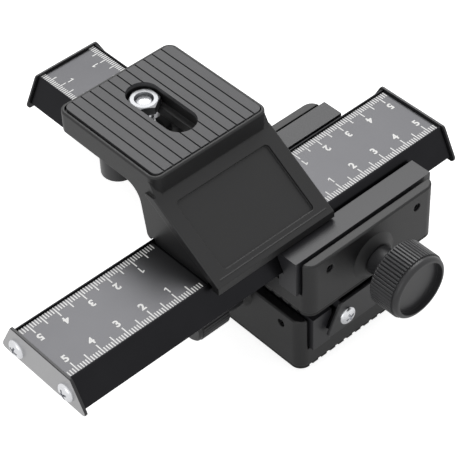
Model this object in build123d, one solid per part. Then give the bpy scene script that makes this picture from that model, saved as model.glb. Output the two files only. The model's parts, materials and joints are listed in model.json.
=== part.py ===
from build123d import *
import math
import os

# Macro focusing rail: two crossed dovetail slides, each driven by a rack and pinion, and a camera
# bracket on the upper one. Millimetres. The origin is the mouth of the tripod socket, +Z is up.
# Each stage is drawn in its own frame: x along its travel, y across it, z up from its scale face.

# Stage heights, and where the slides stand at rest
lower_scale_z = 24.6
upper_scale_z = 53.2
lower_rail_overhang = 1.59    # lower rail's near end beyond the base block's gibs
upper_rail_shift = -32.0      # upper rail's middle, along its travel from the middle block
middle_block_shift = -3.84    # middle block, from the base block along the lower travel

# Rail
rail_length = 158.5           # between the end plates
scale_half = 13.0             # half width of the channel that holds the scale
lip_rise = 0.7                # lips beside the scale
lip_width = 0.9               # from the channel to the flank, level with the scale face
flank_slope = 0.5266          # widening of the flank for each millimetre down
shoulder_radius = 0.75
rail_depth = 9.4              # scale face to underside
rail_edge = 0.3
scale_thickness = 0.6
scale_side_gap = 0.1
scale_end_gap = 0.25

# Rail end plates and their screws
plate_thickness = 1.0
plate_top_overhang = 0.6
plate_bottom_overhang = 2.15
plate_top_z = 1.1
plate_bottom_z = -11.4
plate_corner = 1.5
plate_edge = 0.25
end_screw_y = 11.9
end_screw_z = -6.1
screw_radius = 1.5
screw_fit = 0.05
end_screw_depth = 9.0
end_head_radius = 3.35
end_head_height = 1.8
head_dome_share = 0.45        # of a pan head's height that is its dome
head_crown_share = 0.72       # of its radius that is flat on top
driver_span = 3.6
driver_width = 0.8
driver_depth = 1.0

# Rack and pinion
tooth_module = 0.8
pinion_teeth = 12
tooth_addendum = 0.52         # stub teeth, so that a small pinion is not undercut
tooth_clearance = 0.2
tooth_backlash = 0.26
pressure_angle = 20.0
rack_teeth = 43
rack_y = -11.75
rack_width = 5.6
rack_groove_depth = 1.5
rack_side_fit = 0.1
pinion_width = 5.0
shaft_radius = 2.5
shaft_fit = 0.05
press_fit = 0.02
pinion_axis_z = -15.55

# Block, the same for the base and the middle
block_length = 57.6
block_corner = 4.0
wall_thickness = 3.3
wall_top_z = -2.25
wall_edge = 0.5
floor_top_z = -15.9
block_bottom_z = -23.4
pad_thickness = 1.2
pad_rib_pitch = 4.0
pad_groove_width = 1.5
pad_groove_depth = 0.7
boss_base_radius = 9.0
boss_top_radius = 6.0
boss_height = 2.3
lock_boss_radius = 5.6
lug_width = 9.0
lug_thickness = 3.0
lug_wall = 1.4
pocket_gap = 0.6

# Gib strips and the screws that press on them
gib_overhang = 1.6
gib_width = 8.2
gib_wall_gap = 1.1
gib_top_z = -1.7
gib_land_z = -4.3             # below this the inner face follows the rail's flank
flank_gap = 0.24              # measured across the stage
gib_ledge_gap = 0.2
gib_ledge_step = 0.5
shaft_notch_gap = 0.6
set_screw_x = 19.8
set_screw_z = -7.4
set_screw_sink = 0.6
set_socket_span = 1.5
set_socket_depth = 1.4

# Bushes
bush_radius = 5.15
tripod_bush_radius = 5.0
tripod_thread_radius = 3.175  # 1/4 inch
tripod_bush_length = 7.6
bush_pad_gap = 0.4

# Focus knob
knob_radius = 11.9
knob_start = 9.3              # from the wall's outer face
knob_length = 11.8
knob_flutes = 60
flute_land = 0.45             # share of a flute's step that stays at full radius
flute_valley = 0.72           # where in the step the flute is deepest
knob_flute_depth = 0.45
knob_band_start = 0.7
knob_band_end = 9.7
knob_rim_step = 0.05
knob_rim_width = 1.6
knob_rim_round = 1.3
knob_recess_depth = 2.0
knob_bore_depth = 7.5
bush_knob_gap = 0.3

# Lock knob
lock_radius = 6.0
lock_start = 10.0
lock_length = 13.0
lock_flutes = 32
lock_flute_depth = 0.28
lock_ring_length = 1.6
lock_ring_step = 0.02
lock_edge = 0.5
lock_collar_radius = 4.0
lock_collar_gap = 0.4
lock_bore_depth = 9.0
lock_z = -7.4
lock_tip_gap = 0.15

# Adapter between the lower rail and the middle block
adapter_end_gap = 2.15        # from the lower rail's near end
adapter_side_gap = 0.2
adapter_screw_x = 20.0
adapter_screw_y = 8.0
adapter_screw_depth = 10.0
sunk_head_radius = 3.0
sunk_head_height = 1.7
bolt_head_radius = 5.5
bolt_head_height = 2.4
bolt_head_gap = 0.2
bolt_fit = 0.075
bolt_reach = 6.0

# Camera bracket, in the upper rail's frame with x = 0 at the rail's middle
platform_half = 24.0
platform_front_y = 10.6
platform_back_y = 58.2
platform_under_z = 19.0
platform_rim_z = 27.2
platform_corner = 3.5
platform_edge = 0.7
rim_width = 1.1
recess_floor_z = 26.0
platform_skin = 2.3           # thickness left above the cored pockets
platform_wall = 2.5
core_rib = 2.0
core_corner = 1.0
slot_front_y = 20.4
slot_back_y = 49.7
slot_half = 5.7
slot_floor_z = 22.3
slot_neck_half = 3.55
slot_wall = 2.2

# Bracket leg
panel_overhang = 0.8          # beyond the platform's sides
panel_top = (10.4, 20.2)
panel_bottom = (-18.2, 2.0)
panel_thickness = 3.2
panel_edge = 0.6
leg_wall = 2.5
lip_bottom_z = -0.8
lip_thickness = 3.0
heel_foot = (15.4, -0.3)
heel = (16.3, 0.6)
heel_slope = 0.1525           # rear edge: outward for each millimetre up
heel_radius = 7.0
heel_inner_y = 14.5
flange_top_z = 3.2
flange_back_y = 12.9
face_recess_side = 5.4
face_recess_top = 4.2         # border left along the upper edge of the slanted face
face_recess_bottom = 4.0
face_recess_depth = 1.0
face_recess_corner = 1.5
bracket_screw_x = 15.0
bracket_screw_front_y = -4.0
bracket_screw_back_y = 8.5
bracket_screw_depth = 6.0
bracket_head_radius = 2.8
bracket_head_height = 1.6

# Camera pad
camera_pad_top_z = 27.5
camera_pad_gap = 0.3
camera_pad_side_gap = 0.8
camera_rib_pitch = 3.77
camera_groove_width = 0.5
camera_groove_depth = 0.6
camera_grooves = 11

# Camera screw, its nut and washer
screw_x = 0.15
screw_end_gap = 0.2           # from the slot's round end
nut_flats = 9.6
nut_height = 3.2
nut_chamfer = 0.5
nut_float = 0.05
stud_top_z = 24.7
stud_fit = 0.06
stud_chamfer = 0.7
wing_bottom_z = 2.0
wing_top_z = 11.5
wing_reach = 18.5
wing_lobe_radius = 6.0
wing_hub_radius = 7.0
wing_web_half = 3.6
wing_edge = 0.8
stud_seat_depth = 7.0
washer_radius = 6.0
washer_thickness = 1.0
washer_gap = 0.05
washer_fit = 0.1

near = 0.01                   # how close an edge's middle lies to a plane that it is picked by

# Worked out from the values above
rail_half = rail_length / 2
flank_top_half = scale_half + lip_width
rail_bottom_half = flank_top_half + flank_slope * rail_depth
plate_top_half = flank_top_half + plate_top_overhang
plate_bottom_half = rail_bottom_half + plate_bottom_overhang
gib_inner_half = flank_top_half - flank_slope * gib_land_z + flank_gap
gib_ledge_half = gib_inner_half + gib_ledge_step
gib_outer_half = gib_inner_half + gib_width
wall_inner = gib_outer_half + gib_wall_gap
wall_outer = wall_inner + wall_thickness
block_half = block_length / 2
block_width = 2 * wall_outer
gib_length = block_length + 2 * gib_overhang
lower_rail_shift = rail_half - gib_length / 2 - lower_rail_overhang
pad_bottom_z = block_bottom_z - pad_thickness
tooth_pitch = math.pi * tooth_module
pitch_radius = tooth_module * pinion_teeth / 2
pitch_line_z = pinion_axis_z + pitch_radius
tooth_width = (tooth_pitch - tooth_backlash) / 2
adapter_top_z = upper_scale_z + pad_bottom_z - lower_scale_z
adapter_shift = middle_block_shift - lower_rail_shift
adapter_length = 2 * (rail_half + adapter_shift - adapter_end_gap)
knob_rim_radius = knob_radius - knob_flute_depth - knob_rim_step
knob_recess_radius = knob_rim_radius - knob_rim_width
lock_ring_radius = lock_radius - lock_flute_depth - lock_ring_step
panel_half = platform_half + panel_overhang
face_recess_half = panel_half - face_recess_side
screw_y = slot_back_y - slot_half - screw_end_gap


# Plain shapes

def box(x0, x1, y0, y1, z0, z1):
    centre = Pos((x0 + x1) / 2, (y0 + y1) / 2, (z0 + z1) / 2)
    return centre * Box(x1 - x0, y1 - y0, z1 - z0)


def rod_x(radius, x0, x1, y=0.0, z=0.0):
    return Pos((x0 + x1) / 2, y, z) * Rot(0, 90, 0) * Cylinder(radius, x1 - x0)


def rod_y(radius, y0, y1, x=0.0, z=0.0):
    return Pos(x, (y0 + y1) / 2, z) * Rot(90, 0, 0) * Cylinder(radius, y1 - y0)


def rod_z(radius, z0, z1, x=0.0, y=0.0):
    return Pos(x, y, (z0 + z1) / 2) * Cylinder(radius, z1 - z0)


def along_x(points, x0, x1):
    """Extrude a y, z outline from x0 to x1."""
    face = make_face(Plane.YZ * Polyline(*points, close=True))
    return Pos(x0, 0, 0) * extrude(face, amount=x1 - x0, dir=(1, 0, 0))


def rounded_block(x0, x1, y0, y1, z0, z1, radius):
    face = RectangleRounded(x1 - x0, y1 - y0, radius)
    return Pos((x0 + x1) / 2, (y0 + y1) / 2, z0) * extrude(face, amount=z1 - z0)


def turned(points):
    """Revolve an r, z outline about Z."""
    face = make_face(Plane.XZ * Polyline(*points, close=True))
    return revolve(face, Axis.Z)


def edges_near(shape, test):
    return [edge for edge in shape.edges() if test(edge.center())]


def cross_recess(depth):
    """Cross-head driver recess, cut downward from z = 0."""
    half = driver_span / 2
    wide = driver_width / 2
    bar = Box(2 * half, 2 * wide, 2 * depth)
    return bar + Rot(0, 0, 90) * bar


def pan_screw(head_radius, head_height, depth):
    """Screw standing on z = 0, its shank going down."""
    dome = head_height * head_dome_share
    head = turned([(0, 0), (head_radius, 0), (head_radius, head_height - dome),
                   (head_radius * head_crown_share, head_height), (0, head_height)])
    shank = rod_z(screw_radius, -depth, 0)
    return head + shank - Pos(0, 0, head_height) * cross_recess(driver_depth)


def sunk_screw(depth):
    """Countersunk screw with its flat head level with z = 0."""
    head = turned([(0, 0), (sunk_head_radius, 0), (screw_radius, -sunk_head_height),
                   (0, -sunk_head_height)])
    shank = rod_z(screw_radius, -depth, -sunk_head_height / 2)
    return head + shank - cross_recess(driver_depth)


# Teeth

def rack_profile():
    """One x, z outline of the rack: its back in the rail's groove, its teeth down."""
    back_z = -rail_depth + rack_groove_depth
    root_z = pitch_line_z + tooth_addendum + tooth_clearance
    tip_z = pitch_line_z - tooth_addendum
    slant = math.tan(math.radians(pressure_angle))
    root_half = tooth_width / 2 + (root_z - pitch_line_z) * slant
    tip_half = tooth_width / 2 - tooth_addendum * slant
    end = rack_teeth * tooth_pitch / 2
    points = [(end, back_z), (-end, back_z), (-end, root_z)]
    for i in range(rack_teeth):
        x = (i - (rack_teeth - 1) / 2) * tooth_pitch
        points += [(x - root_half, root_z), (x - tip_half, tip_z)]
        points += [(x + tip_half, tip_z), (x + root_half, root_z)]
    return points + [(end, root_z)]


def rack():
    face = make_face(Plane.XZ * Polyline(*rack_profile(), close=True))
    return Pos(0, rack_y + rack_width / 2, 0) * extrude(face, amount=rack_width, dir=(0, -1, 0))


def involute_angle(radius, base):
    """Angle by which the involute has turned at this radius."""
    roll = math.sqrt(max(radius * radius / (base * base) - 1, 0))
    return roll - math.atan(roll)


def pinion_profile(lean):
    """Outline of the pinion; one tooth leans from +Z towards +X by the angle lean."""
    base = pitch_radius * math.cos(math.radians(pressure_angle))
    root = pitch_radius - tooth_addendum - tooth_clearance
    tip = pitch_radius + tooth_addendum
    half_angle = tooth_width / 2 / pitch_radius + involute_angle(pitch_radius, base)
    steps = 3
    flank = [root]
    flank += [base + (tip - base) * i / steps for i in range(steps + 1)]
    points = []
    for tooth in range(pinion_teeth):
        middle = math.pi / 2 - lean - tooth * 2 * math.pi / pinion_teeth
        rising = [(r, middle + half_angle - involute_angle(r, base)) for r in flank]
        falling = [(r, middle - half_angle + involute_angle(r, base)) for r in reversed(flank)]
        points += [(r * math.cos(a), r * math.sin(a)) for r, a in rising + falling]
    return points


def pinion_lean(rail_shift):
    """A tooth has to stand in the rack's gap that is nearest to the pinion at rest."""
    gap = tooth_pitch / 2 if rack_teeth % 2 else 0.0
    offset = (rail_shift + gap + tooth_pitch / 2) % tooth_pitch - tooth_pitch / 2
    return offset / pitch_radius


def pinion(rail_shift):
    face = make_face(Plane.XZ * Polyline(*pinion_profile(pinion_lean(rail_shift)), close=True))
    place = Pos(0, rack_y + pinion_width / 2, pinion_axis_z)
    gear = place * extrude(face, amount=pinion_width, dir=(0, -1, 0))
    return gear - rod_y(shaft_radius + press_fit, rack_y - pinion_width, rack_y + pinion_width,
                        z=pinion_axis_z)


# Rail and what is fixed to it

def rail():
    lip_half = flank_top_half - flank_slope * lip_rise
    outline = [(scale_half, -scale_thickness), (scale_half, lip_rise), (lip_half, lip_rise),
               (rail_bottom_half, -rail_depth)]
    mirrored = [(-y, z) for y, z in reversed(outline)]
    bar = along_x(outline + mirrored, -rail_half, rail_half)
    shoulders = edges_near(bar, lambda c: abs(abs(c.Y) - lip_half) < near and c.Z > 0 and abs(c.X) < 1)
    bar = fillet(shoulders, shoulder_radius)
    corners = edges_near(bar, lambda c: abs(c.Z + rail_depth) < near and abs(c.X) < 1)
    bar = chamfer(corners, rail_edge)
    groove_half = rack_width / 2 + rack_side_fit
    bar -= box(-rail_half, rail_half, rack_y - groove_half, rack_y + groove_half,
               -rail_depth, -rail_depth + rack_groove_depth)
    for side in (-1, 1):
        for y in (-end_screw_y, end_screw_y):
            ends = sorted((side * rail_half, side * (rail_half - end_screw_depth)))
            bar -= rod_x(screw_radius + screw_fit, ends[0], ends[1], y, end_screw_z)
    return bar


def end_plate(side):
    face = [(plate_top_half, plate_top_z), (plate_bottom_half, plate_bottom_z),
            (-plate_bottom_half, plate_bottom_z), (-plate_top_half, plate_top_z)]
    inner = side * rail_half
    outer = side * (rail_half + plate_thickness)
    plate = along_x(face, min(inner, outer), max(inner, outer))
    middle = (inner + outer) / 2
    plate = fillet(edges_near(plate, lambda c: abs(c.X - middle) < near
                              and abs(c.Y) > 1), plate_corner)
    rim = edges_near(plate, lambda c: abs(c.X - outer) < near)
    plate = chamfer(rim, plate_edge)
    for y in (-end_screw_y, end_screw_y):
        plate -= rod_x(screw_radius + screw_fit, middle - plate_thickness,
                       middle + plate_thickness, y, end_screw_z)
    return plate


def end_screws():
    screw = pan_screw(end_head_radius, end_head_height, end_screw_depth - screw_fit)
    group = []
    for side in (-1, 1):
        for y in (-end_screw_y, end_screw_y):
            place = Pos(side * (rail_half + plate_thickness), y, end_screw_z)
            group.append(place * Rot(0, side * 90, 0) * screw)
    return Compound(group)


def scale_plate(x0, x1):
    half = scale_half - scale_side_gap
    return box(x0, x1, -half, half, -scale_thickness, 0)


# Block and what is fixed to it

def hex_bar(flats, length):
    """Hexagonal bar on z = 0, going up."""
    return extrude(RegularPolygon(flats / math.sqrt(3), 6), amount=length)


def block():
    body = rounded_block(-block_half, block_half, -wall_outer, wall_outer,
                         block_bottom_z, wall_top_z, block_corner)
    top = edges_near(body, lambda c: abs(c.Z - wall_top_z) < near)
    body = chamfer(top, wall_edge)
    body -= box(-block_half, block_half, -wall_inner, wall_inner, floor_top_z, wall_top_z)
    body += focus_boss()
    body += lock_boss()
    body += pinion_lug()
    body -= rod_y(bush_radius + press_fit, -wall_outer - boss_height, -wall_inner, z=pinion_axis_z)
    body -= rod_y(shaft_radius + shaft_notch_gap, -wall_inner, lug_front(), z=pinion_axis_z)
    body -= rod_y(shaft_radius + shaft_fit, lug_front(), lug_front() + lug_thickness, z=pinion_axis_z)
    body -= pinion_pocket()
    body -= rod_y(shaft_radius + shaft_fit, wall_inner, wall_outer + boss_height, z=lock_z)
    body -= rod_z(tripod_bush_radius + press_fit, block_bottom_z, pad_bottom_z + tripod_bush_length)
    for x in (-set_screw_x, set_screw_x):
        for side in (-1, 1):
            ends = sorted((side * wall_inner, side * wall_outer))
            body -= rod_y(screw_radius + screw_fit, ends[0], ends[1], x, set_screw_z)
    return body


def lug_front():
    """Face of the inner bearing lug, just behind the pinion."""
    return rack_y + max(pinion_width, rack_width) / 2 + pocket_gap / 2


def focus_boss():
    """Cone on the wall round the pinion bush, flat where it would pass below the block."""
    cone = Cone(boss_base_radius, boss_top_radius, boss_height)
    cone = Pos(0, -wall_outer - boss_height / 2, pinion_axis_z) * Rot(90, 0, 0) * cone
    return cone - box(-2 * boss_base_radius, 2 * boss_base_radius, -wall_outer - 2 * boss_height,
                      -wall_outer + boss_height, pinion_axis_z - 2 * boss_base_radius, block_bottom_z)


def lock_boss():
    cone = Cone(lock_boss_radius, lock_collar_radius, boss_height)
    return Pos(0, wall_outer + boss_height / 2, lock_z) * Rot(-90, 0, 0) * cone


def pinion_lug():
    top = pinion_axis_z + shaft_radius + lug_wall
    return box(-lug_width / 2, lug_width / 2, lug_front(), lug_front() + lug_thickness,
               floor_top_z, top)


def pinion_pocket():
    half = pitch_radius + tooth_addendum + pocket_gap
    return box(-half, half, rack_y - pinion_width / 2 - pocket_gap, lug_front(),
               pinion_axis_z - half, floor_top_z)


def gib(side):
    """Strip with the dovetail face; side is -1 for the focus knob's side and 1 for the other."""
    ledge_z = -rail_depth - gib_ledge_gap
    inner_half = flank_top_half + flank_slope * -ledge_z + flank_gap
    outline = [(gib_outer_half, floor_top_z), (gib_outer_half, gib_top_z), (gib_inner_half, gib_top_z),
               (gib_inner_half, gib_land_z), (inner_half, ledge_z), (gib_ledge_half, ledge_z),
               (gib_ledge_half, floor_top_z)]
    if side < 0:
        outline = [(-y, z) for y, z in reversed(outline)]
    strip = along_x(outline, -gib_length / 2, gib_length / 2)
    if side < 0:
        notch = shaft_radius + shaft_notch_gap
        strip -= rod_y(notch, -gib_outer_half, -gib_ledge_half, z=pinion_axis_z)
        strip -= box(-notch, notch, -gib_outer_half, -gib_ledge_half, floor_top_z, pinion_axis_z)
    return strip


def gibs():
    return Compound([gib(-1), gib(1)])


def set_screws():
    length = wall_outer - set_screw_sink - gib_outer_half
    screw = rod_z(screw_radius, 0, length)
    screw -= Pos(0, 0, length - set_socket_depth) * hex_bar(set_socket_span, set_socket_depth)
    group = []
    for x in (-set_screw_x, set_screw_x):
        for side in (-1, 1):
            group.append(Pos(x, side * gib_outer_half, set_screw_z) * Rot(-side * 90, 0, 0) * screw)
    return Compound(group)


def base_pad():
    pad = rounded_block(-block_half, block_half, -wall_outer, wall_outer,
                        pad_bottom_z, block_bottom_z, block_corner)
    grooves = int((block_width - pad_rib_pitch) / pad_rib_pitch / 2)
    for i in range(-grooves, grooves + 1):
        y = i * pad_rib_pitch
        pad -= box(-block_half, block_half, y - pad_groove_width / 2, y + pad_groove_width / 2,
                   pad_bottom_z, pad_bottom_z + pad_groove_depth)
    return pad - rod_z(tripod_bush_radius + bush_pad_gap, pad_bottom_z, block_bottom_z)


def tripod_bush():
    ring = rod_z(tripod_bush_radius, pad_bottom_z, pad_bottom_z + tripod_bush_length)
    return ring - rod_z(tripod_thread_radius, pad_bottom_z, pad_bottom_z + tripod_bush_length)


def pinion_bush():
    outer = -wall_outer - knob_start + bush_knob_gap
    sleeve = rod_y(bush_radius, outer, -wall_inner, z=pinion_axis_z)
    return sleeve - rod_y(shaft_radius + shaft_fit, outer, -wall_inner, z=pinion_axis_z)


# Knobs, drawn with their axis on Z and their front up, from z = 0

def fluted_band(radius, depth, count, z0, z1):
    points = []
    step = 2 * math.pi / count
    for i in range(count):
        for share, r in ((0.0, radius), (flute_land, radius), (flute_valley, radius - depth)):
            angle = (i + share) * step
            points.append((r * math.cos(angle), r * math.sin(angle)))
    face = make_face(Polyline(*points, close=True))
    return Pos(0, 0, z0) * extrude(face, amount=z1 - z0, dir=(0, 0, 1))


def focus_knob_body():
    core = rod_z(knob_rim_radius, 0, knob_length)
    rims = edges_near(core, lambda c: abs(c.Z - knob_length) < near)
    core = fillet(rims, knob_rim_round)
    back = edges_near(core, lambda c: abs(c.Z) < near)
    core = chamfer(back, knob_band_start / 2)
    core += fluted_band(knob_radius, knob_flute_depth, knob_flutes, knob_band_start, knob_band_end)
    core -= rod_z(knob_recess_radius, knob_length - knob_recess_depth, knob_length)
    return core - rod_z(shaft_radius + press_fit, 0, knob_bore_depth)


def lock_knob_body():
    grip_end = lock_length - lock_ring_length
    core = rod_z(lock_ring_radius, 0, lock_length)
    core = chamfer(edges_near(core, lambda c: abs(c.Z - lock_length) < near), lock_edge)
    core += fluted_band(lock_radius, lock_flute_depth, lock_flutes, 0, grip_end)
    core += rod_z(lock_collar_radius, -lock_start + boss_height + lock_collar_gap, 0)
    return core - rod_z(shaft_radius + press_fit, -lock_start, lock_bore_depth)


def focus_knob():
    place = Pos(0, -wall_outer - knob_start, pinion_axis_z) * Rot(90, 0, 0)
    return place * focus_knob_body()


def pinion_shaft():
    outer = -wall_outer - knob_start - knob_bore_depth
    return rod_y(shaft_radius, outer, lug_front() + lug_thickness, z=pinion_axis_z)


def lock_knob():
    place = Pos(0, wall_outer + lock_start, lock_z) * Rot(-90, 0, 0)
    return place * lock_knob_body()


def lock_screw():
    return rod_y(shaft_radius, gib_outer_half + lock_tip_gap,
                 wall_outer + lock_start + lock_bore_depth, z=lock_z)


# Adapter, in the lower stage's frame with x = 0 at the middle block's centre

def adapter_screw_places():
    return [(x, y) for x in (-adapter_screw_x, adapter_screw_x)
            for y in (-adapter_screw_y, adapter_screw_y)]


def adapter():
    half = scale_half - adapter_side_gap
    plate = box(-adapter_length / 2, adapter_length / 2, -half, half, -scale_thickness, adapter_top_z)
    sink = turned([(0, 0), (sunk_head_radius + screw_fit, 0), (screw_radius + screw_fit, -sunk_head_height),
                   (0, -sunk_head_height)])
    for x, y in adapter_screw_places():
        plate -= Pos(x, y, adapter_top_z) * sink
        plate -= rod_z(screw_radius + screw_fit, -scale_thickness, adapter_top_z, x, y)
    head_top = -scale_thickness + bolt_head_height + bolt_head_gap
    plate -= rod_z(bolt_head_radius + bolt_head_gap, -scale_thickness, head_top)
    return plate - rod_z(tripod_thread_radius, head_top, adapter_top_z)


def adapter_screws():
    screw = sunk_screw(adapter_screw_depth)
    return Compound([Pos(x, y, adapter_top_z) * screw for x, y in adapter_screw_places()])


def adapter_bolt():
    head_top = -scale_thickness + bolt_head_height + bolt_head_gap
    head = rod_z(bolt_head_radius, head_top - bolt_head_height, head_top)
    socket = Pos(0, 0, head_top - bolt_head_height) * hex_bar(bolt_head_radius, bolt_head_height / 2)
    return head + rod_z(tripod_thread_radius - bolt_fit, head_top, adapter_top_z + bolt_reach) - socket


def lower_rail():
    """The rail with the screw holes of the adapter."""
    bar = rail()
    for x, y in adapter_screw_places():
        bar -= rod_z(screw_radius + screw_fit, adapter_top_z - adapter_screw_depth - screw_fit,
                     0, adapter_shift + x, y)
    return bar


# Camera bracket, in the upper rail's frame

def platform():
    slab = rounded_block(-platform_half, platform_half, platform_front_y, platform_back_y,
                         platform_under_z, platform_rim_z, platform_corner)
    slab = fillet(edges_near(slab, lambda c: abs(c.Z - platform_rim_z) < near), platform_edge)
    inset = rim_width
    slab -= rounded_block(-platform_half + inset, platform_half - inset, platform_front_y + inset,
                          platform_back_y - inset, recess_floor_z, platform_rim_z,
                          platform_corner - inset)
    slab -= slot(slot_half, slot_floor_z, recess_floor_z)
    for pocket in core_pockets():
        slab -= pocket
    return slab


def slot(half, z0, z1):
    """Round-ended slot about the line that the camera screw follows."""
    middle = (slot_front_y + slot_back_y) / 2
    length = slot_back_y - slot_front_y - 2 * (slot_half - half)
    face = Rot(0, 0, 90) * SlotOverall(length, 2 * half)
    return Pos(0, middle, z0) * extrude(face, amount=z1 - z0)


def core_pockets():
    """Pockets moulded into the underside on both sides of the slot, with cross ribs between."""
    inner = slot_half + slot_wall
    outer = platform_half - platform_wall
    front = heel[0] + heel_slope * (platform_under_z - heel[1]) + platform_wall
    back = platform_back_y - platform_wall
    top = recess_floor_z - platform_skin
    count = 3
    length = (back - front - (count - 1) * core_rib) / count
    pockets = []
    for i in range(count):
        y0 = front + i * (length + core_rib)
        for x0, x1 in ((-outer, -inner), (inner, outer)):
            pockets.append(rounded_block(x0, x1, y0, y0 + length, platform_under_z, top, core_corner))
    return pockets


def leg_outline():
    heel_top = (heel[0] + heel_slope * (platform_under_z - heel[1]), platform_under_z)
    landing = (heel_top[0] + 2 * heel_radius, platform_under_z)
    above = (landing[0], recess_floor_z - platform_skin / 2)
    front_top = (platform_front_y + platform_wall, above[1])
    return [panel_top, panel_bottom, (panel_bottom[0], lip_bottom_z),
            (panel_bottom[0] + lip_thickness, lip_bottom_z),
            (panel_bottom[0] + lip_thickness, lip_rise), (heel_inner_y, lip_rise),
            (heel_inner_y, heel_foot[1]), heel_foot, heel, heel_top, landing, above, front_top]


def leg_walls():
    outline = leg_outline()
    heel_top = outline[9]
    walls = []
    for x0, x1 in ((-platform_half, -platform_half + leg_wall), (platform_half - leg_wall, platform_half)):
        wall = along_x(outline, x0, x1)
        corner = edges_near(wall, lambda c: abs(c.Y - heel_top[0]) < near
                            and abs(c.Z - heel_top[1]) < near)
        walls.append(fillet(corner, heel_radius))
    return walls


def slanted_panel():
    dy = panel_bottom[0] - panel_top[0]
    dz = panel_bottom[1] - panel_top[1]
    length = math.hypot(dy, dz)
    inward = (-dz / length * panel_thickness, dy / length * panel_thickness)
    lip_inner = panel_bottom[0] + lip_thickness
    slope = dz / dy
    inner_z = panel_bottom[1] + inward[1] + (lip_inner - panel_bottom[0] - inward[0]) * slope
    outline = [panel_top, panel_bottom, (panel_bottom[0], lip_bottom_z), (lip_inner, lip_bottom_z),
               (lip_inner, max(inner_z, lip_rise)),
               (panel_top[0] + inward[0] + platform_wall, panel_top[1] + inward[1] + platform_wall * slope),
               (panel_top[0] + inward[0] + platform_wall, panel_top[1])]
    panel = along_x(outline, -panel_half, panel_half)
    rim = edges_near(panel, lambda c: abs(abs(c.X) - panel_half) < near
                     and abs((c.Z - panel_top[1]) - slope * (c.Y - panel_top[0])) < near)
    panel = fillet(rim, panel_edge)
    border = (face_recess_top - face_recess_bottom) / 2
    recess = extrude(RectangleRounded(2 * face_recess_half,
                                      length - face_recess_top - face_recess_bottom,
                                      face_recess_corner), amount=2 * face_recess_depth, both=True)
    tilt = math.degrees(math.atan2(dz, dy)) + 180
    middle = Pos(0, (panel_top[0] + panel_bottom[0]) / 2, (panel_top[1] + panel_bottom[1]) / 2)
    outward = Pos(0, -border, face_recess_depth)
    return panel - middle * Rot(tilt, 0, 0) * outward * recess


def flange():
    """Floor of the leg: it sits on the rail's lips, with a tongue in the scale channel."""
    inner = platform_half - leg_wall / 2
    plate = box(-inner, inner, panel_bottom[0] + lip_thickness / 2, flange_back_y, lip_rise, flange_top_z)
    half = scale_half - adapter_side_gap
    return plate + box(-platform_half, platform_half, -half, half, -scale_thickness, flange_top_z - lip_rise)


def bracket_screw_places():
    return [(x, y) for x in (-bracket_screw_x, bracket_screw_x)
            for y in (bracket_screw_front_y, bracket_screw_back_y)]


def bracket():
    shape = platform()
    for wall in leg_walls():
        shape += wall
    shape += slanted_panel()
    shape += flange()
    shape -= slot(slot_neck_half, platform_under_z, slot_floor_z)
    for x, y in bracket_screw_places():
        shape -= rod_z(screw_radius + screw_fit, -scale_thickness, flange_top_z, x, y)
    return shape


def bracket_screws():
    screw = pan_screw(bracket_head_radius, bracket_head_height, flange_top_z + bracket_screw_depth)
    return Compound([Pos(x, y, flange_top_z) * screw for x, y in bracket_screw_places()])


def upper_rail():
    """The rail with the screw holes of the bracket."""
    bar = rail()
    for x, y in bracket_screw_places():
        bar -= rod_z(screw_radius + screw_fit, -bracket_screw_depth - screw_fit, 0, x, y)
    return bar


def camera_pad():
    inset = rim_width + camera_pad_gap
    left = -platform_half + rim_width + camera_pad_side_gap
    right = platform_half - inset
    front = platform_front_y + inset
    back = platform_back_y - inset
    pad = rounded_block(left, right, front, back, recess_floor_z, camera_pad_top_z,
                        platform_corner - inset)
    pad -= slot(slot_half, recess_floor_z, camera_pad_top_z)
    for i in range(camera_grooves):
        x = (i - (camera_grooves - 1) / 2) * camera_rib_pitch
        pad -= box(x - camera_groove_width / 2, x + camera_groove_width / 2, front, back,
                   camera_pad_top_z - camera_groove_depth, camera_pad_top_z)
    return pad


# Camera screw

def slot_nut():
    nut = Rot(0, 0, 30) * hex_bar(nut_flats, nut_height)
    corner = nut_flats / math.sqrt(3)
    nut = nut & turned([(0, 0), (corner, 0), (corner, nut_height - nut_chamfer),
                        (corner - 2 * nut_chamfer, nut_height), (0, nut_height)])
    nut -= rod_z(tripod_thread_radius + stud_fit, 0, nut_height)
    return Pos(screw_x, screw_y, slot_floor_z + nut_float) * nut


def wing_head():
    hub = Circle(wing_hub_radius)
    lobe_x = wing_reach - wing_lobe_radius
    outline = hub + Rectangle(2 * lobe_x, 2 * wing_web_half)
    for x in (-lobe_x, lobe_x):
        outline += Pos(x, 0) * Circle(wing_lobe_radius)
    body = Pos(screw_x, screw_y, wing_bottom_z) * extrude(outline, amount=wing_top_z - wing_bottom_z)
    ends = edges_near(body, lambda c: abs(c.Z - wing_top_z) < near or abs(c.Z - wing_bottom_z) < near)
    body = chamfer(ends, wing_edge)
    return body - rod_z(tripod_thread_radius + press_fit, wing_top_z - stud_seat_depth, wing_top_z,
                        screw_x, screw_y)


def camera_stud():
    stud = rod_z(tripod_thread_radius, wing_top_z - stud_seat_depth, stud_top_z, screw_x, screw_y)
    return chamfer(edges_near(stud, lambda c: abs(c.Z - stud_top_z) < near), stud_chamfer)


def screw_washer():
    bottom = wing_top_z + washer_gap
    ring = rod_z(washer_radius, bottom, bottom + washer_thickness, screw_x, screw_y)
    return ring - rod_z(tripod_thread_radius + washer_fit, bottom, bottom + washer_thickness,
                        screw_x, screw_y)


# Assembly

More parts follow.
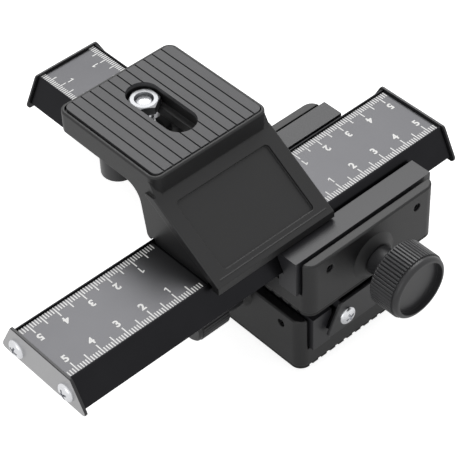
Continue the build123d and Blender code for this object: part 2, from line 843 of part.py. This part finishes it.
lower_stage = Pos(0, 0, lower_scale_z) * Rot(0, 0, 90)
upper_stage = Pos(0, middle_block_shift, upper_scale_z)
lower_rail_place = lower_stage * Pos(lower_rail_shift, 0, 0)
upper_rail_place = upper_stage * Pos(upper_rail_shift, 0, 0)
adapter_place = lower_stage * Pos(middle_block_shift, 0, 0)


def block_set(prefix, place, rail_shift):
    return {
        prefix + "_block": place * block(),
        prefix + "_gibs": place * gibs(),
        prefix + "_gib_screws": place * set_screws(),
        prefix + "_rubber_pad": place * base_pad(),
        prefix + "_tripod_bush": place * tripod_bush(),
        prefix + "_pinion_bush": place * pinion_bush(),
        prefix + "_focus_knob": place * focus_knob(),
        prefix + "_pinion_shaft": place * pinion_shaft(),
        prefix + "_pinion": place * pinion(rail_shift),
        prefix + "_lock_knob": place * lock_knob(),
        prefix + "_lock_screw": place * lock_screw(),
    }


def rail_set(prefix, place, bar):
    return {
        prefix + "_rail": place * bar,
        prefix + "_rack": place * rack(),
        prefix + "_end_plate_near": place * end_plate(-1),
        prefix + "_end_plate_far": place * end_plate(1),
        prefix + "_end_screws": place * end_screws(),
    }


def assembly():
    plate_end = rail_half - scale_end_gap
    adapter_end = adapter_shift + adapter_length / 2 + scale_end_gap
    bracket_end = panel_half + scale_end_gap
    nodes = {}
    nodes.update(block_set("base", lower_stage, lower_rail_shift))
    nodes.update(block_set("middle", upper_stage, upper_rail_shift))
    nodes.update(rail_set("lower", lower_rail_place, lower_rail()))
    nodes.update(rail_set("upper", upper_rail_place, upper_rail()))
    nodes["lower_scale"] = lower_rail_place * scale_plate(adapter_end, plate_end)
    nodes["upper_scale_left"] = upper_rail_place * scale_plate(-plate_end, -bracket_end)
    nodes["upper_scale_right"] = upper_rail_place * scale_plate(bracket_end, plate_end)
    nodes["adapter_plate"] = adapter_place * adapter()
    nodes["adapter_screws"] = adapter_place * adapter_screws()
    nodes["adapter_bolt"] = adapter_place * adapter_bolt()
    nodes["camera_bracket"] = upper_rail_place * bracket()
    nodes["bracket_screws"] = upper_rail_place * bracket_screws()
    nodes["camera_pad"] = upper_rail_place * camera_pad()
    nodes["slot_nut"] = upper_rail_place * slot_nut()
    nodes["screw_washer"] = upper_rail_place * screw_washer()
    nodes["camera_stud"] = upper_rail_place * camera_stud()
    nodes["wing_head"] = upper_rail_place * wing_head()
    return nodes


os.makedirs("parts", exist_ok=True)
for name, shape in assembly().items():
    export_step(shape, "parts/" + name + ".step")
    print(name, round(shape.volume))
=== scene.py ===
import json
import math

import bmesh
import bpy
from mathutils import Matrix, Vector


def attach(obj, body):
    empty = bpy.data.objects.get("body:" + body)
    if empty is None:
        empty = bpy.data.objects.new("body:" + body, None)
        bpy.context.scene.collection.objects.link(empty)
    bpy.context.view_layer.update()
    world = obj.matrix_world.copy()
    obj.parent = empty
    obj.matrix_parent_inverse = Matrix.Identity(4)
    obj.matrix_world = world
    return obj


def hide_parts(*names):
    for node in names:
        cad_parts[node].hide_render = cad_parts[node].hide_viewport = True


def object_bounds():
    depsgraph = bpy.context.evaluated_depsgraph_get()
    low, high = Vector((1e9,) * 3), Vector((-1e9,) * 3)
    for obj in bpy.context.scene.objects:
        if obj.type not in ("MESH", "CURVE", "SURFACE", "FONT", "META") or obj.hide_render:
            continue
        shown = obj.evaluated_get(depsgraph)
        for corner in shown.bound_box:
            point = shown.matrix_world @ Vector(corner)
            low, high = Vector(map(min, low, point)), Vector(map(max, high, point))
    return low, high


# Macro focusing rail, dressed round its frame.
# The camera and the studio are in metres, the values of finishes and pieces in millimetres.

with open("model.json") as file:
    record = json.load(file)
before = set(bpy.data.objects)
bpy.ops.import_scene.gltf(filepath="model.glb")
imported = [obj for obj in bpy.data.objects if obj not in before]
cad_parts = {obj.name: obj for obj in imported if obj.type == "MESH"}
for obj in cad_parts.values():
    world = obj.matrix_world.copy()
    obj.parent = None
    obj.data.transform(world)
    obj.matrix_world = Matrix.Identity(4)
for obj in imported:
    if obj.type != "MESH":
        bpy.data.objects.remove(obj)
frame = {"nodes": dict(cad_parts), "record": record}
cadBox = [list(corner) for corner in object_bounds()]
nodes = frame["nodes"]
mm = 0.001
toMetres = Matrix.Diagonal((mm, mm, mm, 1))
print("frame loaded,", len(nodes), "nodes")


# Small helpers

def toLinear(hexColour):
    channels = [int(hexColour[i:i + 2], 16) / 255 for i in (1, 3, 5)]
    linear = [c / 12.92 if c <= 0.04045 else ((c + 0.055) / 1.055) ** 2.4 for c in channels]
    return (*linear, 1.0)


white = toLinear("#ffffff")


# One shader node: its properties, the values of its inputs, and the links into them
def addNode(tree, kind, settings=None, inputs=None, links=None):
    node = tree.nodes.new(kind)
    for key, value in (settings or {}).items():
        setattr(node, key, value)
    for key, value in (inputs or {}).items():
        node.inputs[key].default_value = value
    for key, source in (links or {}).items():
        tree.links.new(source, node.inputs[key])
    return node


def newTree(material):
    material.use_nodes = True
    material.node_tree.nodes.clear()
    return material.node_tree


def linked(name, data):
    thing = bpy.data.objects.new(name, data)
    bpy.context.scene.collection.objects.link(thing)
    return thing


def addPiece(name, mesh, body, material):
    piece = linked(name, mesh)
    mesh.materials.clear()
    mesh.materials.append(material)
    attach(piece, body)
    return piece


def meshFrom(bm, name):
    mesh = bpy.data.meshes.new(name)
    bm.to_mesh(mesh)
    bm.free()
    return mesh


# The mesh of an object with its modifiers applied
def evaluated(piece):
    bpy.context.view_layer.update()
    graph = bpy.context.evaluated_depsgraph_get()
    return bpy.data.meshes.new_from_object(piece.evaluated_get(graph))


# Camera, solved from the millimetre marks on the photographed scale

camera = {
    "place": (-0.3082, -0.3207, 0.4669),
    "azimuth": -40.71,
    "elevation": 44.71,
    "roll": -2.45,
    "focalPixels": 1859.99,
    "imageWidth": 460,
    "sensor": 36.0,
    "nearClip": 0.01,
}


def addCamera(spec):
    az, el, roll = (math.radians(spec[key]) for key in ("azimuth", "elevation", "roll"))
    back = Vector((math.sin(az) * math.cos(el), -math.cos(az) * math.cos(el), math.sin(el)))
    right = (-back).cross(Vector((0, 0, 1))).normalized()
    up = right.cross(-back)
    turnedRight = math.cos(roll) * right + math.sin(roll) * up
    turnedUp = -math.sin(roll) * right + math.cos(roll) * up
    data = bpy.data.cameras.new("photoCamera")
    data.sensor_width = spec["sensor"]
    data.sensor_fit = "HORIZONTAL"
    data.lens = spec["focalPixels"] * spec["sensor"] / spec["imageWidth"]
    data.clip_start = spec["nearClip"]
    eye = linked("photoCamera", data)
    turn = Matrix((turnedRight, turnedUp, back)).transposed().to_4x4()
    eye.matrix_world = Matrix.Translation(spec["place"]) @ turn
    bpy.context.scene.camera = eye


addCamera(camera)
bpy.context.scene.view_settings.view_transform = "Standard"
print("camera set")


# Studio: white surroundings, a soft box over the far side, a weak fill at the left

studio = {
    "ambient": 0.5,  # how brightly the white room lights the part
    "floorColour": "#e6e6e6",
    "floorSize": 8.0,
    "floorDrop": 0.0003,  # below the lowest point of the part
    "floorGlow": 0.82,  # what the camera sees of the floor beyond the light that falls on it
    "floorMirrored": 0.37,  # the share of that glow that shows in reflections
    "aim": (-0.03, 0.03, 0.045),
}
softBoxes = {
    "keyBox": {"way": (0.41, 0.477, 0.786), "distance": 1.15, "size": 0.75, "radiance": 3.5},
    "fillBox": {"way": (-0.86, -0.18, 0.34), "distance": 1.2, "size": 0.7, "radiance": 0.9},
}


# Gives 1 to rays from the camera or through a clear body, mirrored to reflections, 0 to light
def seenRays(tree, mirrored=1.0):
    path = addNode(tree, "ShaderNodeLightPath")
    glossy = addNode(tree, "ShaderNodeMath", {"operation": "MULTIPLY"}, {1: mirrored},
                     {0: path.outputs["Is Glossy Ray"]})
    first = addNode(tree, "ShaderNodeMath", {"operation": "MAXIMUM"}, None,
                    {0: path.outputs["Is Camera Ray"], 1: glossy.outputs[0]})
    both = addNode(tree, "ShaderNodeMath", {"operation": "MAXIMUM"}, None,
                   {0: first.outputs[0], 1: path.outputs["Is Transmission Ray"]})
    return both.outputs[0]


def addWorld(spec):
    world = bpy.data.worlds.new("whiteRoom")
    bpy.context.scene.world = world
    tree = newTree(world)
    level = addNode(tree, "ShaderNodeMapRange", None,
                    {"To Min": spec["ambient"], "To Max": 1.0}, {"Value": seenRays(tree)})
    shine = addNode(tree, "ShaderNodeBackground", None, {"Color": white},
                    {"Strength": level.outputs[0]})
    addNode(tree, "ShaderNodeOutputWorld", None, None, {"Surface": shine.outputs[0]})


def addFloor(spec):
    half = spec["floorSize"] / 2
    z = cadBox[0][2] - spec["floorDrop"]
    corners = [(-half, -half, z), (half, -half, z), (half, half, z), (-half, half, z)]
    mesh = bpy.data.meshes.new("floor")
    mesh.from_pydata(corners, [], [(0, 1, 2, 3)])
    paper = bpy.data.materials.new("whitePaper")
    tree = newTree(paper)
    matt = addNode(tree, "ShaderNodeBsdfDiffuse", None, {"Color": toLinear(spec["floorColour"])})
    glow = addNode(tree, "ShaderNodeMath", {"operation": "MULTIPLY"}, {1: spec["floorGlow"]},
                   {0: seenRays(tree, spec["floorMirrored"])})
    light = addNode(tree, "ShaderNodeEmission", None, {"Color": white},
                    {"Strength": glow.outputs[0]})
    total = addNode(tree, "ShaderNodeAddShader", None, None,
                    {0: matt.outputs[0], 1: light.outputs[0]})
    addNode(tree, "ShaderNodeOutputMaterial", None, None, {"Surface": total.outputs[0]})
    mesh.materials.append(paper)
    linked("floor", mesh)


# Square lamp that faces the aim; its power follows from its radiance and size
def addSoftBox(name, spec, aim):
    lamp = bpy.data.lights.new(name, "AREA")
    lamp.shape = "SQUARE"
    lamp.size = spec["size"]
    lamp.energy = spec["radiance"] * math.pi * spec["size"] ** 2
    direction = Vector(spec["way"]).normalized()
    box = linked(name, lamp)
    box.location = Vector(aim) + direction * spec["distance"]
    box.rotation_euler = direction.to_track_quat("Z", "Y").to_euler()


addWorld(studio)
addFloor(studio)
for boxName, boxSpec in softBoxes.items():
    addSoftBox(boxName, boxSpec, studio["aim"])
print("studio set")


# Finishes. Grain is the size of the bumps and depth their height; edge is the radius that
# catches light on corners; mottle is how far the colour drifts. Real grain is under 0.1 and
# would not show, so it is drawn coarser.

finishes = {
    # injection-moulded ABS with a spark-eroded grain: soft, slightly uneven highlights
    "moulded_black": {"colour": "#151516", "roughness": 0.44, "grain": 0.35, "depth": 0.05,
                      "edge": 0.5, "mottle": 0.18, "shine": 0.48},
    # machined acetal strips: a little smoother, so their tops read lighter
    "gib_plastic": {"colour": "#2b2b2e", "roughness": 0.4, "grain": 0.6, "depth": 0.02,
                    "edge": 0.15, "mottle": 0.1},
    # moulded nitrile rubber: matt, with hardly a highlight
    "rubber_pad": {"colour": "#1d1d1d", "roughness": 0.72, "grain": 0.5, "depth": 0.06,
                   "edge": 0.2, "mottle": 0.2},
    # drawn aluminium, anodised black: a dark metal that softly mirrors what is round it
    "rail_anodised": {"colour": "#272729", "roughness": 0.32, "metallic": 1.0, "grain": 0.3,
                      "depth": 0.012, "edge": 0.25, "mottle": 0.12},
    # glass-filled nylon from a polished mould: clear highlights on flutes and rim
    "knob_plastic": {"colour": "#2b2b2d", "roughness": 0.36, "grain": 0.5, "depth": 0.02,
                     "edge": 0.12, "mottle": 0.1},
    # turned acetal: plain dark rings round the shafts
    "bush_plastic": {"colour": "#232325", "roughness": 0.4, "grain": 0.5, "depth": 0.02,
                     "edge": 0.15, "mottle": 0.1},
    # moulded acetal: dull black teeth
    "rack_plastic": {"colour": "#1a1a1a", "roughness": 0.45, "grain": 0.5, "depth": 0.03,
                     "edge": 0.08, "mottle": 0.1},
    # cut brass: warm teeth with bright flanks
    "pinion_brass": {"colour": "#c9a25a", "roughness": 0.3, "metallic": 1.0, "grain": 0.2,
                     "depth": 0.01, "edge": 0.06, "mottle": 0.15},
    # turned brass: a bright warm ring in the black base
    "bush_brass": {"colour": "#cfae6e", "roughness": 0.28, "metallic": 1.0, "grain": 0.2,
                   "depth": 0.01, "edge": 0.1, "mottle": 0.15},
    # zinc-plated steel: bright, with a soft grey bloom
    "steel_bright": {"colour": "#e2e3e6", "roughness": 0.27, "metallic": 1.0, "grain": 0.25,
                     "depth": 0.01, "edge": 0.1, "mottle": 0.12},
    # turned steel left unplated: greyer than the plated screw that it holds
    "dull_steel": {"colour": "#98999b", "roughness": 0.42, "metallic": 1.0, "grain": 0.25,
                   "depth": 0.01, "edge": 0.12, "mottle": 0.12},
    # black oxide steel: dark, with small clear highlights
    "steel_black": {"colour": "#3a3a3c", "roughness": 0.36, "metallic": 1.0, "grain": 0.2,
                    "depth": 0.01, "edge": 0.08, "mottle": 0.15},
}
relief = {"bump": 0.6, "edgeSamples": 6, "grainDetail": 3.0, "patch": 14.0, "patchDetail": 2.0}


def grainNoise(tree, size, detail):
    place = addNode(tree, "ShaderNodeTexCoord")
    noise = addNode(tree, "ShaderNodeTexNoise", None,
                    {"Scale": 1 / (size * mm), "Detail": detail},
                    {"Vector": place.outputs["Object"]})
    return noise.outputs[0]


# Rounded edges, with a height pattern as a bump over them
def softNormal(tree, spec, height):
    edges = addNode(tree, "ShaderNodeBevel", {"samples": relief["edgeSamples"]},
                    {"Radius": spec["edge"] * mm})
    bump = addNode(tree, "ShaderNodeBump", None,
                   {"Strength": relief["bump"], "Distance": spec["depth"] * mm},
                   {"Height": height, "Normal": edges.outputs[0]})
    return bump.outputs[0]


# The colour, slightly lighter and darker in large soft patches
def varied(tree, spec):
    colour, amount = toLinear(spec["colour"]), spec["mottle"]
    dark = tuple(c * (1 - amount) for c in colour[:3]) + (1.0,)
    light = tuple(min(c * (1 + amount), 1) for c in colour[:3]) + (1.0,)
    mixed = addNode(tree, "ShaderNodeMix", {"data_type": "RGBA"}, {"A": dark, "B": light},
                    {"Factor": grainNoise(tree, relief["patch"], relief["patchDetail"])})
    return mixed.outputs["Result"]


# Joins the colour and the normal to the surface, and the surface to the material
def closeFinish(tree, surface, colour, normal):
    tree.links.new(colour, surface.inputs["Base Color"])
    tree.links.new(normal, surface.inputs["Normal"])
    addNode(tree, "ShaderNodeOutputMaterial", None, None, {"Surface": surface.outputs[0]})


def plainFinish(name, spec):
    material = bpy.data.materials.new(name)
    tree = newTree(material)
    surface = addNode(tree, "ShaderNodeBsdfPrincipled", None,
                      {"Roughness": spec["roughness"], "Metallic": spec.get("metallic", 0.0),
                       "Specular IOR Level": spec.get("shine", 0.5)})
    grain = grainNoise(tree, spec["grain"], relief["grainDetail"])
    closeFinish(tree, surface, varied(tree, spec), softNormal(tree, spec, grain))
    return material


# Camera pad: moulded rubber over woven cloth, so a fine square weave shows on the ribs
weave = {"colour": "#4a4a4c", "roughness": 0.52, "thread": 0.55, "unevenness": 0.4,
         "depth": 0.05, "edge": 0.12, "mottle": 0.12}
bandSpacing = 0.314  # a wave texture of scale 1 repeats at this distance


def wovenFinish(name, spec):
    material = bpy.data.materials.new(name)
    tree = newTree(material)
    surface = addNode(tree, "ShaderNodeBsdfPrincipled", None, {"Roughness": spec["roughness"]})
    place = addNode(tree, "ShaderNodeTexCoord")
    threads = []
    for direction in ("X", "Y"):
        wave = addNode(tree, "ShaderNodeTexWave", {"bands_direction": direction},
                       {"Scale": bandSpacing / (spec["thread"] * mm),
                        "Distortion": spec["unevenness"]},
                       {"Vector": place.outputs["Object"]})
        threads.append(wave.outputs["Fac"])
    cloth = addNode(tree, "ShaderNodeMath", {"operation": "MAXIMUM"}, None,
                    {0: threads[0], 1: threads[1]})
    closeFinish(tree, surface, varied(tree, spec), softNormal(tree, spec, cloth.outputs[0]))
    return material


# Scale plates: rolled aluminium, anodised grey, so they mirror the soft box as an even tone
sheet = {"colour": "#515153", "roughness": 0.36, "metallic": 1.0, "grain": 0.3, "depth": 0.01,
         "edge": 0.05, "mottle": 0.06}

# End plates: stamped steel painted black. On the upper rail the outer face of each plate, which
# lies further than face from the rail's middle, has a painted highlight: a light grey satin
# metal that stands in for the bright light those faces catch.
endSheet = {"black": "#29292b", "satin": "#a9a9aa", "roughness": 0.38, "grain": 0.3,
            "depth": 0.01, "edge": 0.15, "middle": -32.0, "face": 80.2}


def endPlateFinish(name, spec):
    material = bpy.data.materials.new(name)
    tree = newTree(material)
    place = addNode(tree, "ShaderNodeTexCoord")
    axes = addNode(tree, "ShaderNodeSeparateXYZ", None, None, {0: place.outputs["Object"]})
    along = addNode(tree, "ShaderNodeMath", {"operation": "SUBTRACT"},
                    {1: spec["middle"] * mm}, {0: axes.outputs["X"]})
    away = addNode(tree, "ShaderNodeMath", {"operation": "ABSOLUTE"}, None,
                   {0: along.outputs[0]})
    # face picks the outer faces of the upper rail's plates, which take the painted highlight
    # colour in place of the black
    face = addNode(tree, "ShaderNodeMath", {"operation": "GREATER_THAN"},
                   {1: spec["face"] * mm}, {0: away.outputs[0]})
    surface = addNode(tree, "ShaderNodeBsdfPrincipled", None, {"Roughness": spec["roughness"]},
                      {"Metallic": face.outputs[0]})
    mixed = addNode(tree, "ShaderNodeMix", {"data_type": "RGBA"},
                    {"A": toLinear(spec["black"]), "B": toLinear(spec["satin"])},
                    {"Factor": face.outputs[0]})
    grain = grainNoise(tree, spec["grain"], relief["grainDetail"])
    closeFinish(tree, surface, mixed.outputs["Result"], softNormal(tree, spec, grain))
    return material


# Print: screen-printed white ink, matt and a little raised
ink = {"colour": "#fdfdfb", "roughness": 0.6, "grain": 0.2, "depth": 0.005, "edge": 0.01,
       "mottle": 0.02}

materials = {name: plainFinish(name, spec) for name, spec in finishes.items()}
materials["camera_rubber"] = wovenFinish("camera_rubber", weave)
materials["scale_painted"] = plainFinish("scale_painted", sheet)
materials["plate_painted"] = endPlateFinish("plate_painted", endSheet)
whiteInk = plainFinish("whiteInk", ink)

slotOf = {part["node"]: part["material_slot"] for part in frame["record"]["subparts"]}
ownFinish = {"slot_nut": "dull_steel", "screw_washer": "steel_black"}
for nodeName, node in nodes.items():
    finish = ownFinish.get(nodeName, slotOf[nodeName])
    node.data.materials.clear()
    node.data.materials.append(materials[finish])
print("materials set")


# Millimetre scales. x runs along the rail and y across it, from the middle of the plate.

scaleInk = {
    "thickness": 0.025,
    "tickWidth": 0.42,
    "outer": 12.72,  # y of the marks' outer ends
    "millimetre": 2.3,  # lengths of the marks
    "half": 4.15,
    "whole": 4.5,
    "halfEvery": 5,
    "wholeEvery": 10,
    "figureHeight": 2.65,
    "figureMiddle": 6.05,
    "figureWeight": 0.14,
    "capitalShare": 0.7,  # of the font's size
}
upperScale = {"zero": 25.24, "last": 53, "place": (-32.0, -3.84, 53.2)}
lowerScale = {"zero": 79.9, "last": 104, "place": (0.0, 47.26, 24.6)}

# A one with a flag at its top, in shares of the figure's height
flaggedOne = ((0.03, -0.5), (0.2, -0.5), (0.2, 0.5), (0.05, 0.5), (-0.22, 0.33), (-0.22, 0.16),
              (0.03, 0.28))
boxFaces = ((0, 1, 3, 2), (4, 6, 7, 5), (0, 4, 5, 1), (2, 3, 7, 6), (0, 2, 6, 4), (1, 5, 7, 3))


def addBox(bm, low, high):
    corners = [bm.verts.new((x, y, z)) for x in (low[0], high[0]) for y in (low[1], high[1])
               for z in (low[2], high[2])]
    for face in boxFaces:
        bm.faces.new([corners[i] for i in face])


def addOne(bm, x, y, upright):
    height = scaleInk["figureHeight"] * (1 if upright else -1)
    low, high = ([bm.verts.new((x + u * height, y + v * height, z)) for u, v in flaggedOne]
                 for z in (0, scaleInk["thickness"]))
    bm.faces.new(low[::-1])
    bm.faces.new(high)
    for i in range(len(low)):
        j = (i + 1) % len(low)
        bm.faces.new((low[i], low[j], high[j], high[i]))


# Any other figure, from the built-in font; upright says whether its top points to +y
def addFigure(bm, text, x, y, upright):
    curve = bpy.data.curves.new("figure", "FONT")
    curve.body = text
    curve.align_x = "CENTER"
    curve.align_y = "CENTER"
    curve.size = scaleInk["figureHeight"] / scaleInk["capitalShare"]
    curve.offset = scaleInk["figureWeight"]
    curve.extrude = scaleInk["thickness"] / 2
    writer = linked("figure", curve)
    mesh = evaluated(writer)
    turn = Matrix.Rotation(0 if upright else math.pi, 4, "Z")
    mesh.transform(Matrix.Translation((x, y, scaleInk["thickness"] / 2)) @ turn)
    bm.from_mesh(mesh)
    bpy.data.objects.remove(writer)
    bpy.data.curves.remove(curve)
    bpy.data.meshes.remove(mesh)


# Marks at the given (x, millimetre number) places, along both edges of the plate
def addScale(name, ticks, toPart, body):
    bm = bmesh.new()
    half = scaleInk["tickWidth"] / 2
    for x, count in ticks:
        whole = count % scaleInk["wholeEvery"] == 0
        reach = scaleInk["millimetre"]
        if count % scaleInk["halfEvery"] == 0:
            reach = scaleInk["whole"] if whole else scaleInk["half"]
        for side in (-1, 1):
            ends = sorted((side * scaleInk["outer"], side * (scaleInk["outer"] - reach)))
            addBox(bm, (x - half, ends[0], 0), (x + half, ends[1], scaleInk["thickness"]))
        for side in (-1, 1) if whole else ():
            y = side * scaleInk["figureMiddle"]
            figure = count // scaleInk["wholeEvery"]
            if figure == 1:
                addOne(bm, x, y, side < 0)
            else:
                addFigure(bm, str(figure), x, y, side < 0)
    mesh = meshFrom(bm, name)
    mesh.transform(toMetres @ toPart)
    addPiece(name, mesh, body, whiteInk)


upperPlace = Matrix.Translation(upperScale["place"])
for name, side in (("scaleMarksLeft", -1), ("scaleMarksRight", 1)):
    marks = [(side * (upperScale["zero"] + n), n) for n in range(1, upperScale["last"] + 1)]
    addScale(name, marks, upperPlace, "top_slide")
lowerPlace = Matrix.Translation(lowerScale["place"]) @ Matrix.Rotation(math.pi / 2, 4, "Z")
marks = [(lowerScale["zero"] - n, n) for n in range(1, lowerScale["last"] + 1)]
addScale("scaleMarksLower", marks, lowerPlace, "cross_slide")
print("scales printed")


# Turned and threaded pieces

# Side faces between rings of n points that follow each other
def ringFaces(rings, n):
    faces = []
    for row in range(rings - 1):
        for i in range(n):
            j = (i + 1) % n
            low, high = row * n, (row + 1) * n
            faces.append((low + i, low + j, high + j, high + i))
    return faces


# Closed shape about Z from (radius, height) points
def lathe(profile, segments):
    verts = []
    for r, z in profile:
        for i in range(segments):
            angle = 2 * math.pi * i / segments
            verts.append((r * math.cos(angle), r * math.sin(angle), z))
    last = (len(profile) - 1) * segments
    faces = [tuple(range(segments))[::-1], *ringFaces(len(profile), segments),
             tuple(range(last, last + segments))]
    mesh = bpy.data.meshes.new("turned")
    mesh.from_pydata(verts, [], faces)
    return mesh


def smoothByAngle(mesh, degrees):
    mesh.shade_smooth()
    mesh.set_sharp_from_angle(angle=math.radians(degrees))


# Pan head screws of the end plates: cold-formed domes with a cross recess
panScrew = {
    "radius": 3.32,
    "height": 1.78,
    "skirt": 0.35,
    "sunk": 0.4,  # below the plate's face, so that no gap shows
    "segments": 48,
    "domeSteps": 8,
    "crownGap": 0.6,  # of a step, left flat at the top of the dome
    "recessSpan": 3.5,
    "recessWidth": 0.85,
    "recessDepth": 1.15,
    "recessTurn": 20,
    "cutterRise": 1.0,
    "sharpAngle": 35,
    "turnPerEnd": 0.5,  # radians, as no two screws end at the same turn
    "turnPerScrew": 0.9,
}
screwPlaces = {
    "upper": {"faces": (-112.25, 48.25), "across": (-15.74, 8.06), "z": 47.1, "axis": "X",
              "body": "top_slide"},
    "lower": {"faces": (-32.99, 127.51), "across": (-11.9, 11.9), "z": 18.5, "axis": "Y",
              "body": "cross_slide"},
}


# One head that stands on z = 0
def screwHead(spec):
    profile = [(spec["radius"], -spec["sunk"]), (spec["radius"], spec["skirt"])]
    for i in range(1, spec["domeSteps"] + 1):
        angle = math.pi / 2 * i / (spec["domeSteps"] + spec["crownGap"])
        rise = (spec["height"] - spec["skirt"]) * math.sin(angle)
        profile.append((spec["radius"] * math.cos(angle), spec["skirt"] + rise))
    head = linked("head", lathe(profile, spec["segments"]))
    bm = bmesh.new()
    reach, half = spec["recessSpan"] / 2, spec["recessWidth"] / 2
    low, high = spec["height"] - spec["recessDepth"], spec["height"] + spec["cutterRise"]
    addBox(bm, (-reach, -half, low), (reach, half, high))
    bar = meshFrom(bm, "bar")
    cutters = []
    for turn in (0, math.pi / 2):
        cutter = linked("cutter", bar)
        cutter.rotation_euler = (0, 0, turn + math.radians(spec["recessTurn"]))
        cut = head.modifiers.new("recess", "BOOLEAN")
        cut.object = cutter
        cut.operation = "DIFFERENCE"
        cutters.append(cutter)
    mesh = evaluated(head)
    for extra in cutters + [head]:
        bpy.data.objects.remove(extra)
    smoothByAngle(mesh, spec["sharpAngle"])
    return mesh


headMesh = screwHead(panScrew)
for rail, spec in screwPlaces.items():
    bm = bmesh.new()
    for end, (at, outward) in enumerate(zip(spec["faces"], (-1, 1))):
        for step, across in enumerate(spec["across"]):
            if spec["axis"] == "X":
                place = (at, across, spec["z"])
                turn = Matrix.Rotation(outward * math.pi / 2, 4, "Y")
            else:
                place = (across, at, spec["z"])
                turn = Matrix.Rotation(-outward * math.pi / 2, 4, "X")
            angle = panScrew["turnPerEnd"] * end + panScrew["turnPerScrew"] * step
            spin = Matrix.Rotation(angle, 4, "Z")
            copy = headMesh.copy()
            copy.transform(toMetres @ Matrix.Translation(place) @ turn @ spin)
            bm.from_mesh(copy)
            bpy.data.meshes.remove(copy)
    mesh = meshFrom(bm, rail + "PanScrews")
    smoothByAngle(mesh, panScrew["sharpAngle"])
    piece = addPiece(rail + "PanScrews", mesh, spec["body"],
                     materials["steel_bright"])
    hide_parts(rail + "_end_screws")
print("screws placed")


# Camera screw: rolled 1/4 inch thread with a chamfered tip
thread = {
    "x": -31.85,
    "y": 39.96,
    "bottom": 57.7,
    "top": 77.9,
    "radius": 3.175,
    "root": 2.62,
    "pitch": 1.27,
    "crestGain": 1.15,  # over 1, so that the crests are flat
    "chamfer": 0.75,
    "steps": 10,  # for each pitch
    "segments": 32,
    "sharpAngle": 50,
}


def threadedRod(spec):
    length, n = spec["top"] - spec["bottom"], spec["segments"]
    rows = int(length / spec["pitch"] * spec["steps"])
    verts = []
    for row in range(rows + 1):
        z = spec["bottom"] + length * row / rows
        for i in range(n):
            phase = (z / spec["pitch"] - i / n) % 1.0
            crest = min(1.0, spec["crestGain"] * (1 - abs(2 * phase - 1)))
            r = spec["root"] + (spec["radius"] - spec["root"]) * crest
            r = min(r, spec["radius"] - spec["chamfer"] + (spec["top"] - z))
            angle = 2 * math.pi * i / n
            point = (spec["x"] + r * math.cos(angle), spec["y"] + r * math.sin(angle), z)
            verts.append(tuple(c * mm for c in point))
    faces = [tuple(range(n))[::-1], tuple(range(rows * n, rows * n + n)),
             *ringFaces(rows + 1, n)]
    mesh = bpy.data.meshes.new("threadedScrew")
    mesh.from_pydata(verts, [], faces)
    smoothByAngle(mesh, spec["sharpAngle"])
    return mesh


piece = addPiece("threadedScrew", threadedRod(thread), "camera_screw",
                 materials["steel_bright"])
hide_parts("camera_stud")
print("camera screw placed")
